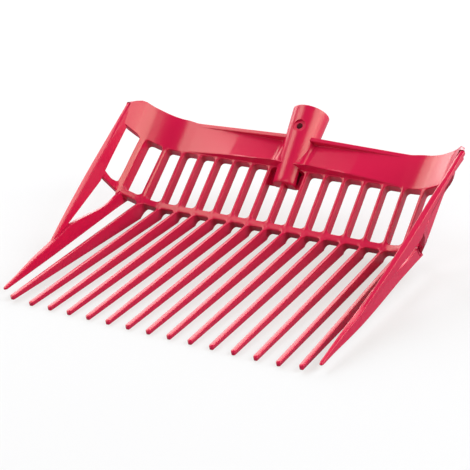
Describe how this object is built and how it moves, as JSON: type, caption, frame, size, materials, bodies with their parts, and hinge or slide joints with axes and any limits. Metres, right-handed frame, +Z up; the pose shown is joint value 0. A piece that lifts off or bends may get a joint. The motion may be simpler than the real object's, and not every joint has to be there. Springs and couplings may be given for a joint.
{
  "type": "stable fork head",
  "caption": "One-piece plastic stable fork head: straight floor tines, slatted leaning back with folded-forward wings and struts, and a tapered socket for a handle.",
  "frame": {"origin": "middle of the bounding box at the ground the tines lie on", "axes": "+X across the fork to its right as seen from the tips, +Y from the tips to the socket, +Z up"},
  "size_m": [0.3806, 0.3484, 0.1165],
  "materials": {
    "moulding": "semi-gloss, fine moulded skin"
  },
  "bodies": {
    "root": {"handle_socket": "moulding", "back_panel_left": "moulding", "back_panel_right": "moulding", "top_rim_left": "moulding", "top_rim_right": "moulding", "lower_ledge_left": "moulding", "lower_ledge_right": "moulding", "socket_web_left": "moulding", "socket_web_right": "moulding", "wing_panel_left": "moulding", "wing_panel_right": "moulding", "wing_ledge_left": "moulding", "wing_ledge_right": "moulding", "wing_rail_left": "moulding", "wing_rail_right": "moulding", "wing_strut_left": "moulding", "wing_strut_right": "moulding", "wing_tine_left": "moulding", "wing_tine_right": "moulding", "cross_rail": "moulding", "slat_00": "moulding", "slat_01": "moulding", "slat_02": "moulding", "slat_03": "moulding", "slat_04": "moulding", "slat_05": "moulding", "slat_06": "moulding", "slat_07": "moulding", "slat_08": "moulding", "slat_09": "moulding", "slat_10": "moulding", "slat_11": "moulding", "slat_12": "moulding", "slat_13": "moulding", "slat_14": "moulding", "slat_15": "moulding", "slat_16": "moulding", "tine_01": "moulding", "tine_02": "moulding", "tine_03": "moulding", "tine_04": "moulding", "tine_05": "moulding", "tine_06": "moulding", "tine_07": "moulding", "tine_08": "moulding", "tine_09": "moulding", "tine_10": "moulding", "tine_11": "moulding", "tine_12": "moulding", "tine_13": "moulding", "tine_14": "moulding", "tine_15": "moulding"}
  },
  "joints": []
}
